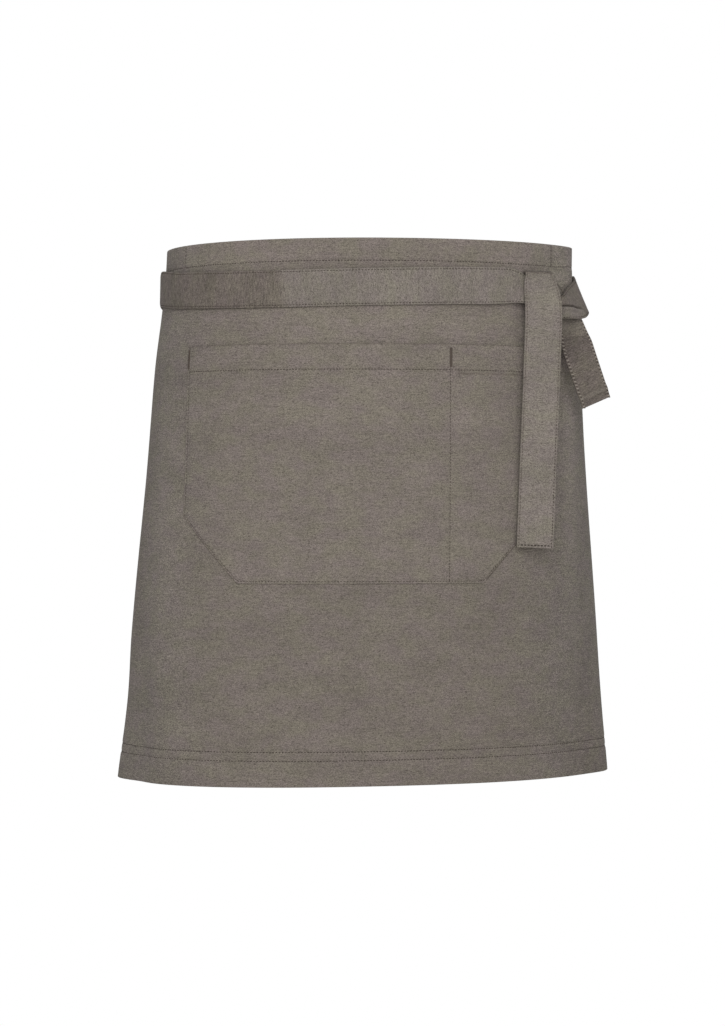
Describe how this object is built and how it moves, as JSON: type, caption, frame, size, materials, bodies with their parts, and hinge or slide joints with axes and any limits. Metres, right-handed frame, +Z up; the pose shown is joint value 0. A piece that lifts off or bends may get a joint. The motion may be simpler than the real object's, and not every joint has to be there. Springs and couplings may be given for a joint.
{
  "type": "waist apron",
  "caption": "Waist apron of mottled canvas, hanging as worn, with a wide patch pocket across the front and flat ties brought round the waist and knotted so that their tails hang down.",
  "frame": {"origin": "Centre of the waist loop, at the middle height of the ties where they cross the front", "axes": "+Z up along the wearer, the front of the apron faces -Y, and the knot is towards +X"},
  "size_m": [0.4278, 0.2766, 0.4507],
  "materials": {
    "canvas": "matte, mottled grey-brown",
    "tie_canvas": "matte, mottled grey-brown"
  },
  "bodies": {
    "root": {"apron_panel": "canvas", "pocket": "canvas", "front_tie": "tie_canvas", "hip_tie": "tie_canvas"}
  },
  "joints": []
}
